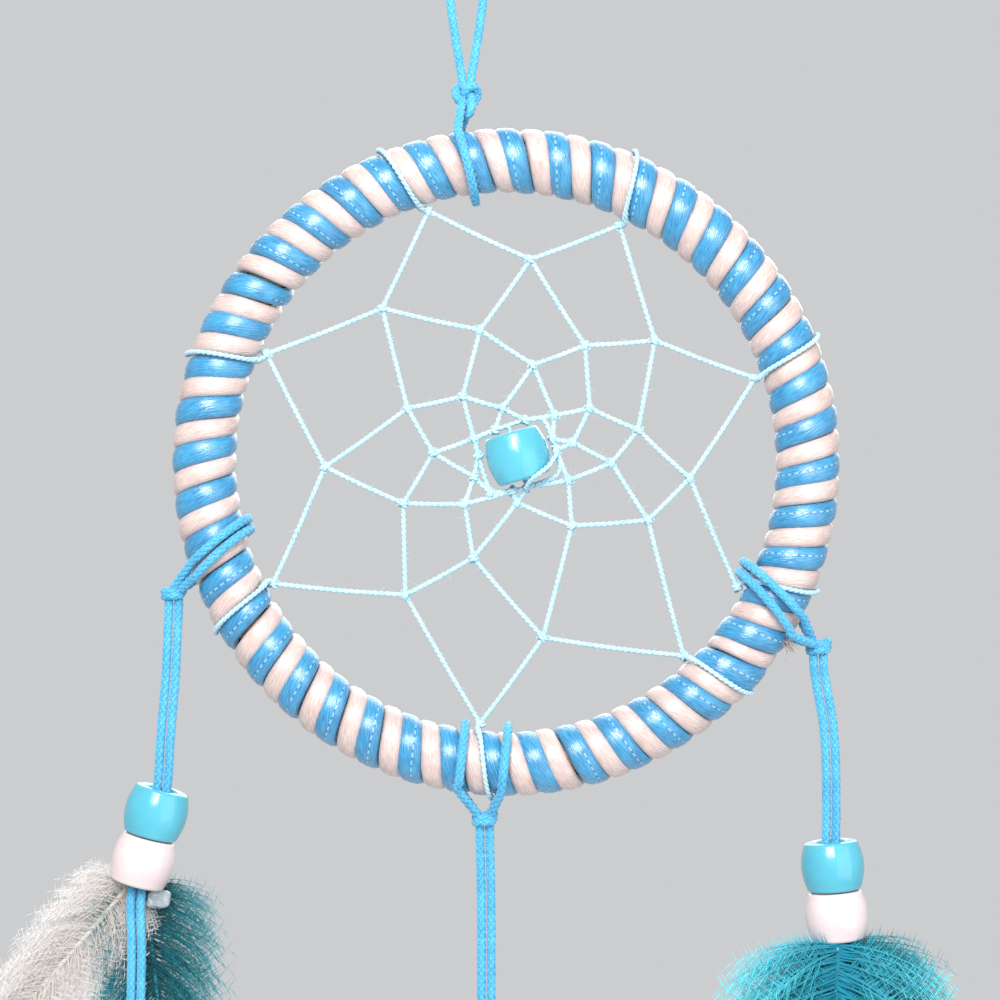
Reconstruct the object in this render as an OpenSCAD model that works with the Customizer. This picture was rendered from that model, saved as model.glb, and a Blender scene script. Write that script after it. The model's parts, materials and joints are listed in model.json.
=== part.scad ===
// Dream catcher: a satin-wrapped hoop with a knotted web, hung by a cord loop, with three bead and
// feather drops. The front faces -Y and +Z is up. The origin is where a nail carries the loop.

/* [Hoop] */
// Diameter of the hoop's centre line
hoop_d = 86.2; // [70:0.2:120]
// Thickness of the bare ring inside the wrapping
core_d = 5; // [3:0.5:6]

/* [Wrapping] */
// Thickness of each satin wrapping cord
wrap_t = 2; // [1.4:0.1:2.6]
// Turns of each colour round the hoop
wrap_turns = 44; // [30:1:56]
// Share of each pair of turns that is blue
blue_share = 0.53; // [0.4:0.01:0.6]

/* [Web] */
// Thickness of the web's thread
thread_d = 0.8; // [0.5:0.1:1.1]
// Diameter of each knot in the web
knot_d = 1.6; // [1.2:0.1:2.2]

/* [Cord] */
// Thickness of the braided cord
cord_d = 1.4; // [1:0.1:1.8]
// Height of the hanging loop, from the nail to its knot
loop_h = 45; // [25:1:80]
// Angle round the hoop of the hanging eye, from the right
hang_at = 97.5; // [80:0.5:100]

/* [Beads] */
// Outer diameter of a pony bead
bead_d = 9; // [7:0.1:10]
// Length of a pony bead
bead_l = 7; // [5:0.1:8]
// Bore of a pony bead
bead_bore = 4; // [3.8:0.1:4.6]

/* [Drops] */
// Angle round the hoop of the left drop
left_at = 201.4; // [195:0.1:215]
// Angle round the hoop of the right drop
right_at = 329.4; // [320:0.1:345]
// Angle round the hoop of the bottom drop
bottom_at = 266.6; // [255:0.1:285]

/* [Feathers] */
// Length of the plain feathers
plume_l = 50; // [35:1:60]
// Length of the downy feathers
down_l = 54; // [35:1:65]
// Thickness of a feather's vane
vane_t = 0.7; // [0.5:0.1:2]
// Thickness of the left drop's fuller feathers, which balance the hoop under its eye
full_vane_t = 1.5; // [0.5:0.1:2]

/* [Hidden] */

// Colours
BLUE = [0.16, 0.5, 0.75];
AZURE = [0.2, 0.65, 0.88];
THREAD = [0.6, 0.86, 0.95];
WHITE = [0.95, 0.9, 0.88];
TURQUOISE = [0.3, 0.78, 0.88];
TEAL = [0, 0.36, 0.42];
GLUE = [0.85, 0.9, 0.92];

// Hoop and its wrapping
hoop_r = hoop_d / 2;
wrap_seat = 0.15;                     // between the bare ring and a wrapping cord's corners
wrap_gap = 0.06;                      // between one turn and the next
wrap_r = core_d / 2 + wrap_seat + wrap_t / 2;
tube_r = wrap_r + wrap_t / 2;         // the wrapped tube, to the top of its turns
wrap_steps = 8;                       // rings in each turn
wrap_sides = 6;

// Hanging cord, from the nail down to the hoop
snug = 0.1;                           // between a cord and what it goes round
coil_r = 0.68 * cord_d;               // a drawn knot's coils, to the cord's middle
coil_pitch = cord_d + 0.1;
knot_h = 2.5 * coil_pitch + cord_d;
eye_slack = 0.4;                      // between the eye and the wrapped tube that turns in it
eye_r = tube_r + cord_d / 2 + eye_slack;
eye_neck = 0.6;                       // from the top of the tube to the hanging knot
hoop_x = -hoop_r * cos(hang_at);
tube_top_z = -loop_h - knot_h - eye_neck - cord_d;
hoop_z = tube_top_z - tube_r - hoop_r * sin(hang_at);

// Web: knots in the order that they are tied, [x, z] from the hoop's centre, drawn with the first
// eight, which stand on the hoop, 37.6 out. The thread then knots on to every run before it.
web_drawn_r = 37.6;
web_r = hoop_r - tube_r - 0.9;
WEB = [
    [33.1, -17.9], [35.6, 12], [16.3, 34], [-11.1, 35.9], [-34.3, 15.5], [-33, -17.2], [-3.7, -37.4],
    [25.4, -27.7], [26.3, -2.3], [21.3, 17.4], [3.5, 29], [-17.7, 22], [-25.9, -0.7], [-14.4, -19],
    [5.3, -25.1], [20.3, -8.3], [18.9, 4.6], [11.3, 16.7], [-3.7, 18.9], [-14.1, 7.7],
    [-14.7, -5.9], [-4.7, -13.7], [9.4, -9.1], [15.1, -0.1], [12, 7.7], [3.9, 13.9], [-6.2, 9.4],
    [-10.4, 1.3], [-5.9, -6], [1.6, -5.8], [8.9, -2.6], [9.6, 2.8], [6.9, 6.7], [-0.5, 7.7],
    [-4.6, 3.4], [-4.6, -2.1]
];
anchors = 8;
bead_at = [1.7, 0.9];                 // the centre bead, from the hoop's centre
bead_lean = 17;                       // its top leans to the left
// The thread's last turn, round the centre bead: [across, along] the bead, past its side and its end,
// and whether a run of the turn before is tied there
LAST_TURN = [
    [-0.7, -1.1, true], [0, -1.2, true], [1.2, -0.7, false], [1.9, -0.15, true], [1.9, 0.15, true],
    [1.4, 0.5, false], [0.75, 1.1, true], [0, 1.1, false], [-0.65, 1, true], [-1.2, 0.6, false],
    [-1.8, 0.3, true], [-1.7, -0.45, true], [-1.2, -0.6, false]
];

// Drops
bight_r = cord_d;                     // the lump where a hitch is drawn tight
out_r = hoop_r + tube_r + snug + cord_d + 0.35 + bight_r;           // to each bight's centre
sway_drop = bight_r + 0.4 + cord_d / 2;    // from there down to the top of the drop's own cord
tail_gap = 0.04;                      // between the two strands of a drop's cord
bead_gap = 0.15;                      // between two beads that stand on each other
rim_r = 0.6;                          // rounding of a bead's rims
bead_end_r = bead_d / 2 - 0.55;
quill_d = 0.9;

// Routes of the drops' cords, [x, y, z] from the top of each one, chosen by hand: down
// to its beads, through them and on to the end knot. The beads' places follow them.
LEFT = [[0, 0, 0], [-0.2, 0, -4], [-0.4, 0, -9], [-0.8, 0, -14], [-1.2, 0, -19], [-1.4, 0, -22.5],
        [-1.8, 0, -26], [-4.3, 0, -35.4], [-5.1, -0.2, -39], [-5.3, -1.1, -42.5], [-5.1, -1.5, -48],
        [-5.2, -1.4, -54], [-5.3, -1.2, -60]];
RIGHT = [[0, 0, 0], [0.5, 0, -3.5], [1.3, 0, -8], [1.7, 0, -13], [1.8, 0, -18], [1.8, 0, -22],
         [1.8, 0, -26], [2.5, 0, -34], [2.8, 0.2, -38.4], [3, 1.1, -42], [3, 1.5, -47]];
BOTTOM = [[0, 0, 0], [0.1, 0, -4], [0.2, 0, -11], [0.2, 0, -18], [0.2, 0, -25], [0.2, 0, -32],
          [0.2, 0, -37], [0.3, 0, -41.5], [0.3, 0, -48.6], [0.3, -0.3, -52.5], [0.3, -1.2, -56],
          [0.4, -1.5, -62]];
left_bead = [-2.5, -28.9];            // the blue bead's centre, from the cord's top
left_lean = 15;
right_bead = [2, -28.7];
right_lean = -5;
bottom_bead = [0.25, -43.4];
bottom_lean = 0;

function unit(v) = v / norm(v);
function polar(r, a) = [r * cos(a), 0, r * sin(a)];
function hoop_point(r, a) = [hoop_x, 0, hoop_z] + polar(r, a);

// ---- A cord swept along points -------------------------------------------------------------

// The points of a smooth curve through p, with n steps between each two
function curve_at(p, i, t) =
    let (a = p[max(i - 1, 0)], b = p[i], c = p[min(i + 1, len(p) - 1)], d = p[min(i + 2, len(p) - 1)])
    0.5 * (2 * b + (c - a) * t + (2 * a - 5 * b + 4 * c - d) * t * t + (3 * b - a - 3 * c + d) * t * t * t);
function smooth(p, n) = [for (i = [0:len(p) - 2], k = [0:n - 1]) curve_at(p, i, k / n), p[len(p) - 1]];

function headings(p, closed) =
    let (n = len(p))
    [for (i = [0:n - 1])
        unit(closed ? p[(i + 1) % n] - p[(i + n - 1) % n] : p[min(i + 1, n - 1)] - p[max(i - 1, 0)])];

// A direction square to each heading, carried along without twisting
function square_to(v, heading) = unit(v - (v * heading) * heading);
function carried(t, first) = [
    for (i = 0, n = square_to(first, t[0]); i < len(t); i = i + 1, n = square_to(n, t[min(i, len(t) - 1)]))
        square_to(n, t[i])
];

// Joins rings of corner points into one closed solid, in a ring or with flat ends
module skin(rings, closed = false) {
    n = len(rings);
    m = len(rings[0]);
    sides = [
        for (i = [0:closed ? n - 1 : n - 2], k = [0:m - 1])
            let (a = i * m, b = ((i + 1) % n) * m, l = (k + 1) % m)
            each [[a + k, b + l, a + l], [a + k, b + k, b + l]]
    ];
    ends = closed ? [] : [[for (k = [0:m - 1]) k], [for (k = [m - 1:-1:0]) (n - 1) * m + k]];
    polyhedron([for (ring = rings) each ring], concat(sides, ends));
}

function ring_at(p, n, b, r, sides) =
    [for (k = [0:sides - 1]) p + r * (cos(360 * k / sides) * b + sin(360 * k / sides) * n)];

// A round cord along the points p; both its ends are domed by half its thickness when domed
module cord(p, d, sides = 8, closed = false, up = [0, 1, 0], domed = false) {
    t = headings(p, closed);
    n = carried(t, up);
    last = len(p) - 1;
    body = [for (i = [0:last]) ring_at(p[i], n[i], cross(n[i], t[i]), d / 2, sides)];
    dome = [50, 80];
    head = [for (k = [1:-1:0])
        ring_at(p[0] - sin(dome[k]) * d / 2 * t[0], n[0], cross(n[0], t[0]), cos(dome[k]) * d / 2, sides)];
    skin(domed ? concat(head, body) : body, closed);
}

// ---- Hoop ----------------------------------------------------------------------------------

module core_ring() {
    color("tan") translate([hoop_x, 0, hoop_z]) rotate([90, 0, 0])
        rotate_extrude($fn = 96) translate([hoop_r, 0]) circle(d = core_d, $fn = 48);
}

// One satin cord wound round the ring: its turns lean clockwise from the outer edge to the inner one
module wrap(start, share) {
    n = wrap_turns * wrap_steps;
    function around(i) = 360 * i / wrap_steps;
    function along(i) = start - 360 * i / n;
    function outward(i) = [cos(around(i)) * cos(along(i)), -sin(around(i)), cos(around(i)) * sin(along(i))];
    p = [for (i = [0:n - 1]) hoop_point(hoop_r, along(i)) + wrap_r * outward(i)];
    t = headings(p, true);
    rings = [
        for (i = [0:n - 1])
            let (
                out = outward(i),
                side = unit(cross(out, t[i])),
                hoop_way = [-sin(along(i)), 0, cos(along(i))],
                pitch = 2 * PI * (hoop_r + wrap_r * cos(around(i))) / wrap_turns,
                w = share * pitch * norm(cross(t[i], hoop_way)) - wrap_gap
            )
            [for (k = [0:wrap_sides - 1])
                p[i] + cos(360 * k / wrap_sides) * w / 2 * side + sin(360 * k / wrap_sides) * wrap_t / 2 * out]
    ];
    skin(rings, true);
}
module wrap_blue() {
    color(BLUE) wrap(0, blue_share);
}
module wrap_white() {
    color(WHITE) wrap(180 / wrap_turns, 1 - blue_share);
}

// ---- Web -----------------------------------------------------------------------------------

function web_point(i) =
    let (p = [WEB[i].x, 0, WEB[i].y])
    [hoop_x, 0, hoop_z] + (i < anchors ? web_r * unit(p) : web_r / web_drawn_r * p);
bead_along = [-sin(bead_lean), 0, cos(bead_lean)];
bead_across = [cos(bead_lean), 0, sin(bead_lean)];
bead_centre = [hoop_x, 0, hoop_z] + web_r / web_drawn_r * [bead_at.x, 0, bead_at.y];
function turn_point(k) =
    let (q = LAST_TURN[k], x = q.x, y = q.y)
    bead_centre
    + (sign(x) * max(0, bead_d / 2 * min(1, abs(x) / 1.2) + (abs(x) - 1) * 1.1)) * bead_across
    + (sign(y) * (abs(y) < 0.4 ? abs(y) * 5.5 : bead_l / 2 + abs(y) - 0.05)) * bead_along;

module run(a, b) {
    hull() for (p = [a, b])
        translate(p) sphere(d = thread_d, $fn = 6);
}
module knot(p) {
    translate(p) sphere(d = knot_d, $fn = 6);
}
module web_thread() {
    last = len(WEB) - 1;
    tied = [for (k = [0:len(LAST_TURN) - 1]) if (LAST_TURN[k][2]) k];
    rounds = [for (k = [0:last]) web_point(k), for (k = tied) turn_point(k)];
    color(THREAD) {
        for (k = [0:anchors - 1]) {
            a = atan2(WEB[k].y, WEB[k].x);
            translate([hoop_x, 0, hoop_z]) rotate([0, -a, 0]) translate([hoop_r, 0, 0])
                rotate_extrude($fn = 24) translate([tube_r + thread_d / 2 + snug, 0])
                    circle(d = thread_d, $fn = 6);
        }
        for (p = rounds) knot(p);
        for (k = [anchors:len(rounds) - 1]) {
            run(rounds[k - anchors], rounds[k]);
            run(rounds[k], rounds[k - anchors + 1]);
        }
        for (k = [0:len(LAST_TURN) - 1]) {
            run(turn_point(k), turn_point((k + 1) % len(LAST_TURN)));
        }
        run(turn_point(1), turn_point(7));
    }
}

// ---- Beads ---------------------------------------------------------------------------------

// A barrel-shaped pony bead on the Z axis, centred, with rounded rims
module pony_bead() {
    bore_r = bead_bore / 2;
    straight = bead_l / 2 - rim_r;
    rise = bead_d / 2 - bead_end_r;
    barrel_r = (straight * straight + rise * rise) / (2 * rise);
    rotate_extrude($fn = 64) {
        intersection() {
            translate([bead_d / 2 - barrel_r, 0]) circle(r = barrel_r, $fn = 64);
            translate([bore_r, -straight]) square([bead_d / 2, 2 * straight]);
        }
        translate([bore_r + rim_r, -bead_l / 2]) square([bead_end_r - bore_r - 2 * rim_r, bead_l]);
        for (x = [bore_r + rim_r, bead_end_r - rim_r], y = [-straight, straight])
            translate([x, y]) circle(r = rim_r, $fn = 32);
    }
}
module centre_bead() {
    color(TURQUOISE) translate(bead_centre) rotate([0, -bead_lean, 0]) pony_bead();
}

// ---- Hanging cord --------------------------------------------------------------------------

loop_w = 7;                          // between the two strands, half way up
LOOP = [[-0.7, 0, 0], [-1.1, 0, 2], [-2, 0, 7], [-3, 0, 14], [-3.9, 0, 22], [-4.4, 0, 29]];
module hanging_loop() {
    top = loop_h - 0.7 - cord_d / 2;
    rise = top - loop_w * 0.62;
    left = [for (q = LOOP) [q.x * loop_w / 7, 0, q.z * rise / 34]];
    bend = [for (a = [165:-15:15]) [0.62 * loop_w * cos(a), 0, rise + 0.62 * loop_w * sin(a)]];
    right = [for (k = [len(LOOP) - 1:-1:0]) [-left[k].x, 0, left[k].z]];
    foot = [0, 0, -loop_h + 0.7];
    color(AZURE) translate(foot) cord(concat(smooth(left, 3), bend, smooth(right, 3)), cord_d);
}
// A drawn knot's coils, from its top down
module coils(turns) {
    p = [for (a = [0:22.5:360 * turns])
        [coil_r * cos(a), coil_r * sin(a), -cord_d / 2 - coil_pitch * a / 360]];
    color(AZURE) cord(p, cord_d, up = [0, 0, 1]);
}
module hanging_knot() {
    translate([0, 0, -loop_h]) coils(2.5);
}
module hanging_eye() {
    up = [0, 0, tube_top_z + eye_neck + cord_d];
    centre = hoop_point(hoop_r, hang_at);
    ring = [for (v = [40:20:320])
        centre + eye_r * [cos(v) * cos(hang_at), -sin(v), cos(v) * sin(hang_at)]];
    color(AZURE) cord(concat([up + [-0.3, -cord_d / 2, 0]], ring, [up + [0.3, cord_d / 2, 0]]), cord_d,
        up = [1, 0, 0]);
}

// ---- Drops ---------------------------------------------------------------------------------

// One strand of a hitch, once round the wrapped tube, from the angle where it leaves the hoop's
// outer edge to the angle where it crosses the inner edge; over is what it passes on the tube
module strand(outer, inner, over = 0) {
    p = [for (v = [0:15:359])
        let (a = outer + (inner - outer) * (1 - cos(v)) / 2)
        hoop_point(hoop_r, a)
        + (tube_r + cord_d / 2 + snug + over) * [cos(v) * cos(a), -sin(v), cos(v) * sin(a)]];
    color(AZURE) cord(p, cord_d, closed = true, up = [1, 0, 0.3]);
}
// The hitch's bight, a round lump of cord that the drop swings about
module bight(at, over = 0) {
    color(AZURE) translate(hoop_point(out_r + over, at)) sphere(r = bight_r, $fn = 32);
}
strand_gap = 0.11;                    // between two strands of a hitch, on the hoop's inner edge
strand_side = (cord_d + strand_gap) / (hoop_r - tube_r - snug - cord_d / 2) * 180 / PI;
thread_over = thread_d + snug;        // the right hitch passes over the web's thread
function sway_point(at) =
    hoop_point(out_r + (at == right_at ? thread_over : 0), at) - [0, 0, sway_drop];

// Both strands of a drop's cord, side by side
module drop_cord(at, route) {
    middle = smooth(route, 3);
    ways = headings(middle, false);
    apart = (cord_d + tail_gap) / 2;
    color(AZURE) translate(sway_point(at)) for (side = [-1, 1])
        cord([for (i = [0:len(middle) - 1]) middle[i] + side * apart * unit([-ways[i].z, 0, ways[i].x])],
            cord_d, domed = true);
}
module drop_bead(at, place, lean, below) {
    translate(sway_point(at) + [place.x, 0, place.y]) rotate([0, lean, 0])
        translate([0, 0, below ? -bead_l - bead_gap : 0]) pony_bead();
}
// A point in the frame of a drop's beads, from the foot of the lower one
module at_foot(at, place, lean) {
    translate(sway_point(at) + [place.x, 0, place.y]) rotate([0, lean, 0])
        translate([0, 0, -1.5 * bead_l - bead_gap]) children();
}
module drop_glue(at, place, lean, side) {
    r = 1.2;
    color(GLUE) at_foot(at, place, lean) translate([side * (bead_bore / 2 + r + 0.35), 0, -r - 0.05])
        sphere(r = r, $fn = 32);
}
// The overhand knot that ends a drop's cord
module end_knot(at, route) {
    last = route[len(route) - 1];
    translate(sway_point(at) + last - [0, 0, cord_d / 2 + 0.1]) coils(1.5);
}

// A feather: a tapered quill and a thin vane whose width follows a rule, full is where it is widest
module feather(l, w, full, thick) {
    bare = 3;
    n = 14;
    vane_l = l - bare;
    function half(t) = w / 2 * pow(sin(180 * pow(t, ln(0.5) / ln(full))), 0.8);
    rotate([180, 0, 0]) {
        cylinder(d1 = quill_d, d2 = quill_d / 2, h = l * 0.8, $fn = 24);
        rotate([90, 0, 0]) translate([0, 0, -thick / 2]) linear_extrude(thick)
            polygon([
                for (k = [0:n]) [half(k / n), bare + vane_l * k / n],
                for (k = [n - 1:-1:1]) [-half(k / n), bare + vane_l * k / n]
            ]);
    }
}
module drop_feather(at, place, lean, side, back, turn, l, w, full, thick = vane_t) {
    foot = sway_point(at) + [place.x, 0, place.y];
    reach = 1.5 * bead_l + bead_gap + 0.3 + quill_d / 2;
    translate(foot + [-sin(lean) * reach + side, back, -cos(lean) * reach]) rotate([0, turn, 0])
        feather(l, w, full, thick);
}

module left_hitch() {
    strand(left_at - 0.2 - strand_side, left_at - 6.8 - strand_side);
    strand(left_at - 0.2, left_at - 6.8);
}
module left_bight() {
    bight(left_at);
}
module left_cord() {
    drop_cord(left_at, LEFT);
}
module left_blue_bead() {
    color(TURQUOISE) drop_bead(left_at, left_bead, left_lean, false);
}
module left_white_bead() {
    color(WHITE) drop_bead(left_at, left_bead, left_lean, true);
}
module left_glue() {
    drop_glue(left_at, left_bead, left_lean, 1);
}
module left_end_knot() {
    end_knot(left_at, LEFT);
}
module left_white_feather() {
    color(WHITE) drop_feather(left_at, left_bead, left_lean, -0.8, 1.3, 36, plume_l, 18, 0.4,
        full_vane_t);
}
module left_teal_feather() {
    color(TEAL) drop_feather(left_at, left_bead, left_lean, 0.8, 3, -5, down_l, 30, 0.35,
        full_vane_t);
}

module right_hitch() {
    strand(right_at + 2, right_at + 3.3 + 2 * strand_side, thread_over);
    strand(right_at - 1.6, right_at + 3.1 + strand_side, thread_over);
}
module right_bight() {
    bight(right_at, thread_over);
}
module right_cord() {
    drop_cord(right_at, RIGHT);
}
module right_blue_bead() {
    color(TURQUOISE) drop_bead(right_at, right_bead, right_lean, false);
}
module right_white_bead() {
    color(WHITE) drop_bead(right_at, right_bead, right_lean, true);
}
module right_glue() {
    drop_glue(right_at, right_bead, right_lean, 1);
}
module right_end_knot() {
    end_knot(right_at, RIGHT);
}
module right_turquoise_feather() {
    color(TURQUOISE) drop_feather(right_at, right_bead, right_lean, -0.4, -2.6, 2, plume_l, 36, 0.28);
}
module right_teal_feather() {
    color(TEAL) drop_feather(right_at, right_bead, right_lean, 0.8, -1.2, -12, down_l, 28, 0.4);
}

module bottom_hitch() {
    strand(bottom_at - 4.8, bottom_at - 5.4);
    strand(bottom_at + 2.3, bottom_at + 3.8);
}
module bottom_bight() {
    bight(bottom_at);
}
module bottom_cord() {
    drop_cord(bottom_at, BOTTOM);
}
module bottom_blue_bead() {
    color(TURQUOISE) drop_bead(bottom_at, bottom_bead, bottom_lean, false);
}
module bottom_white_bead() {
    color(WHITE) drop_bead(bottom_at, bottom_bead, bottom_lean, true);
}
module bottom_glue() {
    drop_glue(bottom_at, bottom_bead, bottom_lean, -1);
}
module bottom_end_knot() {
    end_knot(bottom_at, BOTTOM);
}
module bottom_white_feather() {
    color(WHITE) drop_feather(bottom_at, bottom_bead, bottom_lean, -0.8, 1.2, 16, plume_l, 18, 0.4);
}
module bottom_turquoise_feather() {
    color(TURQUOISE)
        drop_feather(bottom_at, bottom_bead, bottom_lean, 0.8, 2.6, -10, down_l, 28, 0.4);
}

hanging_loop();
hanging_knot();
hanging_eye();
core_ring();
wrap_blue();
wrap_white();
web_thread();
centre_bead();
left_hitch();
left_bight();
left_cord();
left_blue_bead();
left_white_bead();
left_glue();
left_end_knot();
left_white_feather();
left_teal_feather();
right_hitch();
right_bight();
right_cord();
right_blue_bead();
right_white_bead();
right_glue();
right_end_knot();
right_turquoise_feather();
right_teal_feather();
bottom_hitch();
bottom_bight();
bottom_cord();
bottom_blue_bead();
bottom_white_bead();
bottom_glue();
bottom_end_knot();
bottom_white_feather();
bottom_turquoise_feather();
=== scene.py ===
import math

import bpy
import numpy as np
from bpy.props import BoolProperty, FloatProperty, IntProperty, PointerProperty
from mathutils import Matrix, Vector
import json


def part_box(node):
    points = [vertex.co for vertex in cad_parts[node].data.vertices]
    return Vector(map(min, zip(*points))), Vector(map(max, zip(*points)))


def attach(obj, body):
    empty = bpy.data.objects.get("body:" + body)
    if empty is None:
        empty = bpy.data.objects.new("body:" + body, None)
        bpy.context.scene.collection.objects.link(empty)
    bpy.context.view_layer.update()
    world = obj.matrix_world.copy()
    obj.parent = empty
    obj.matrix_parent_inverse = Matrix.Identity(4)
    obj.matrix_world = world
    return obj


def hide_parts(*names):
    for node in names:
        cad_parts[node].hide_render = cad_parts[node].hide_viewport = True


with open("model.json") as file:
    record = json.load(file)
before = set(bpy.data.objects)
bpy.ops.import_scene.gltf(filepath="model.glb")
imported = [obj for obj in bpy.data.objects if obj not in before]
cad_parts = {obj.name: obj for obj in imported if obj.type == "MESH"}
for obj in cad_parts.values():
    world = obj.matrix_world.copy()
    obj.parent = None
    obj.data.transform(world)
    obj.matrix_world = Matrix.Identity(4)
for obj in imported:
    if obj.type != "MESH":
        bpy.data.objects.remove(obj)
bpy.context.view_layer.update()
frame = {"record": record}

bl_info = {
    "name": "Dream Catcher",
    "version": (1, 0, 0),
    "blender": (4, 5, 0),
    "location": "View3D > Sidebar > Dream Catcher",
    "description": "Makes a satin-wrapped dream catcher with bead and feather drops",
    "category": "Add Mesh",
}

MM = 0.001


# ---- Places, in millimetres, taken from the CAD nodes --------------------------------------


def middle(node):
    low, high = (np.array(c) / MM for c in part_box(node))
    return (low + high) / 2


def span(node):
    low, high = (np.array(c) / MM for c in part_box(node))
    return high - low


HOOP = middle("core_ring")
CORE_D = span("core_ring")[1]
HOOP_R = (span("core_ring")[0] - CORE_D) / 2
CREST = 0.13  # the CAD wrapping has flats, and a round one stands this much higher
TUBE_R = span("wrap_blue")[1] / 2 + CREST
CORD_D = 1.4
THREAD_D = 0.78
TURNS = 44
BEAD_D, BEAD_L, BEAD_BORE = 9.0, 7.0, 4.0
SURROUND = (0.86, 0.875, 0.89, 1)
JOINTS = {j["name"]: j for j in frame["record"]["behaviour"]["joints"]}


def pivot(joint):
    return np.array(JOINTS[joint]["pos_m"]) / MM


def vec(*v):
    return np.array(v, float)


def unit(v):
    return v / np.linalg.norm(v, axis=-1, keepdims=True)


def hoop_point(radius, degrees, y=0.0):
    a = np.radians(degrees)
    return HOOP + vec(radius * math.cos(a), y, radius * math.sin(a))


def tube_point(rho, degrees, around):
    """A point rho from the tube's middle; around is 0 on the hoop's outer edge, 90 in front."""
    v = np.radians(around)
    return hoop_point(HOOP_R + rho * math.cos(v), degrees, -rho * math.sin(v))


# ---- Lines and tubes -----------------------------------------------------------------------


def smooth(points, n, closed=False):
    """Catmull-Rom through the points."""
    p = np.array(points, float)
    k = len(p)
    out = []
    for i in range(k if closed else k - 1):
        ids = [i - 1, i, i + 1, i + 2]
        a, b, c, d = (p[j % k] if closed else p[min(max(j, 0), k - 1)] for j in ids)
        for s in np.arange(n) / n:
            out.append(0.5 * (2 * b + (c - a) * s + (2 * a - 5 * b + 4 * c - d) * s**2
                              + (3 * b - a - 3 * c + d) * s**3))
    return np.array(out if closed else out + [p[-1]])


def evenly(points, step, closed=False):
    p = np.array(points, float)
    if closed:
        p = np.vstack([p, p[:1]])
    s = np.concatenate([[0], np.cumsum(np.linalg.norm(np.diff(p, axis=0), axis=1))])
    n = max(2, int(round(s[-1] / step)))
    at = np.linspace(0, s[-1], n + 1)
    q = np.stack([np.interp(at, s, p[:, i]) for i in range(3)], axis=1)
    return (q[:-1] if closed else q), at[: len(q) - (1 if closed else 0)], s[-1]


def headings(p, closed=False):
    if closed:
        return unit(np.roll(p, -1, axis=0) - np.roll(p, 1, axis=0))
    return unit(np.gradient(p, axis=0))


def frames(p, closed=False):
    """Headings and square directions carried along without twisting."""
    t = headings(p, closed)
    n = np.zeros_like(p)
    v = vec(0, 1, 0) if abs(t[0, 1]) < 0.9 else vec(0, 0, 1)
    for i, h in enumerate(t):
        v = unit(v - (v @ h) * h)
        n[i] = v
    if closed:
        last = unit(n[-1] - (n[-1] @ t[0]) * t[0])
        slip = math.atan2(np.cross(last, n[0]) @ t[0], last @ n[0])
        turn = np.linspace(0, slip, len(p))[:, None]
        n = n * np.cos(turn) + np.cross(t, n) * np.sin(turn)
    return t, n, np.cross(t, n)


def rings(p, n, b, w, h, sides, start=0.0, power=1.0):
    """Oval rings: w is half the width along b, h half the thickness; a power under 1 squares them."""
    a = start + 2 * np.pi * np.arange(sides) / sides
    across, up = (np.sign(f) * np.abs(f) ** power for f in (np.cos(a), np.sin(a)))
    w = np.broadcast_to(np.asarray(w, float), (len(p),))[:, None, None]
    h = np.broadcast_to(np.asarray(h, float), (len(p),))[:, None, None]
    return (p[:, None] + w * across[None, :, None] * b[:, None]
            + h * up[None, :, None] * n[:, None])


def round_tube(points, radius, sides=8, closed=False):
    _, n, b = frames(points, closed)
    return rings(points, n, b, radius, radius, sides), closed


def mesh_of(name, grids, material, shade=True):
    """One object from grids of rings, each closed into a ring or capped at both ends."""
    verts, faces, along, around, base = [], [], [], [], 0
    for grid, closed in grids:
        n, m = grid.shape[:2]
        verts.append(grid.reshape(-1, 3))
        i = np.arange(n if closed else n - 1)[:, None]
        k = np.arange(m)[None, :]
        j, l = (i + 1) % n, (k + 1) % m
        quad = np.stack([i * m + k, i * m + l, j * m + l, j * m + k], axis=-1).reshape(-1, 4) + base
        faces += quad.tolist()
        if not closed:
            last = base + (n - 1) * m
            faces += [list(range(base + m - 1, base - 1, -1)), list(range(last, last + m))]
        steps = np.linalg.norm(np.diff(grid.mean(axis=1), axis=0), axis=1)
        u = np.concatenate([[0], np.cumsum(steps)])
        along.append(np.repeat(u, m))
        around.append(np.tile(np.arange(m) / m, n))
        base += n * m
    mesh = bpy.data.meshes.new(name)
    mesh.from_pydata((np.vstack(verts) * MM).tolist(), [], faces)
    for key, values in (("along", along), ("around", around)):
        layer = mesh.attributes.new(key, "FLOAT", "POINT")
        layer.data.foreach_set("value", np.concatenate(values).astype(np.float32))
    if shade:
        mesh.polygons.foreach_set("use_smooth", [True] * len(mesh.polygons))
    mesh.materials.append(material)
    mesh.update()
    obj = bpy.data.objects.new(name, mesh)
    bpy.context.scene.collection.objects.link(obj)
    outward(obj)
    return obj


def outward(obj):
    """Turns the faces outwards if the solid's volume comes out negative."""
    m = obj.data
    m.calc_loop_triangles()
    tri = np.zeros(len(m.loop_triangles) * 3, int)
    m.loop_triangles.foreach_get("vertices", tri)
    co = np.zeros(len(m.vertices) * 3)
    m.vertices.foreach_get("co", co)
    a, b, c = co.reshape(-1, 3)[tri.reshape(-1, 3)].transpose(1, 0, 2)
    if np.einsum("ij,ij->i", a - co[:3], np.cross(b - co[:3], c - co[:3])).sum() < 0:
        m.flip_normals()


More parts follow.
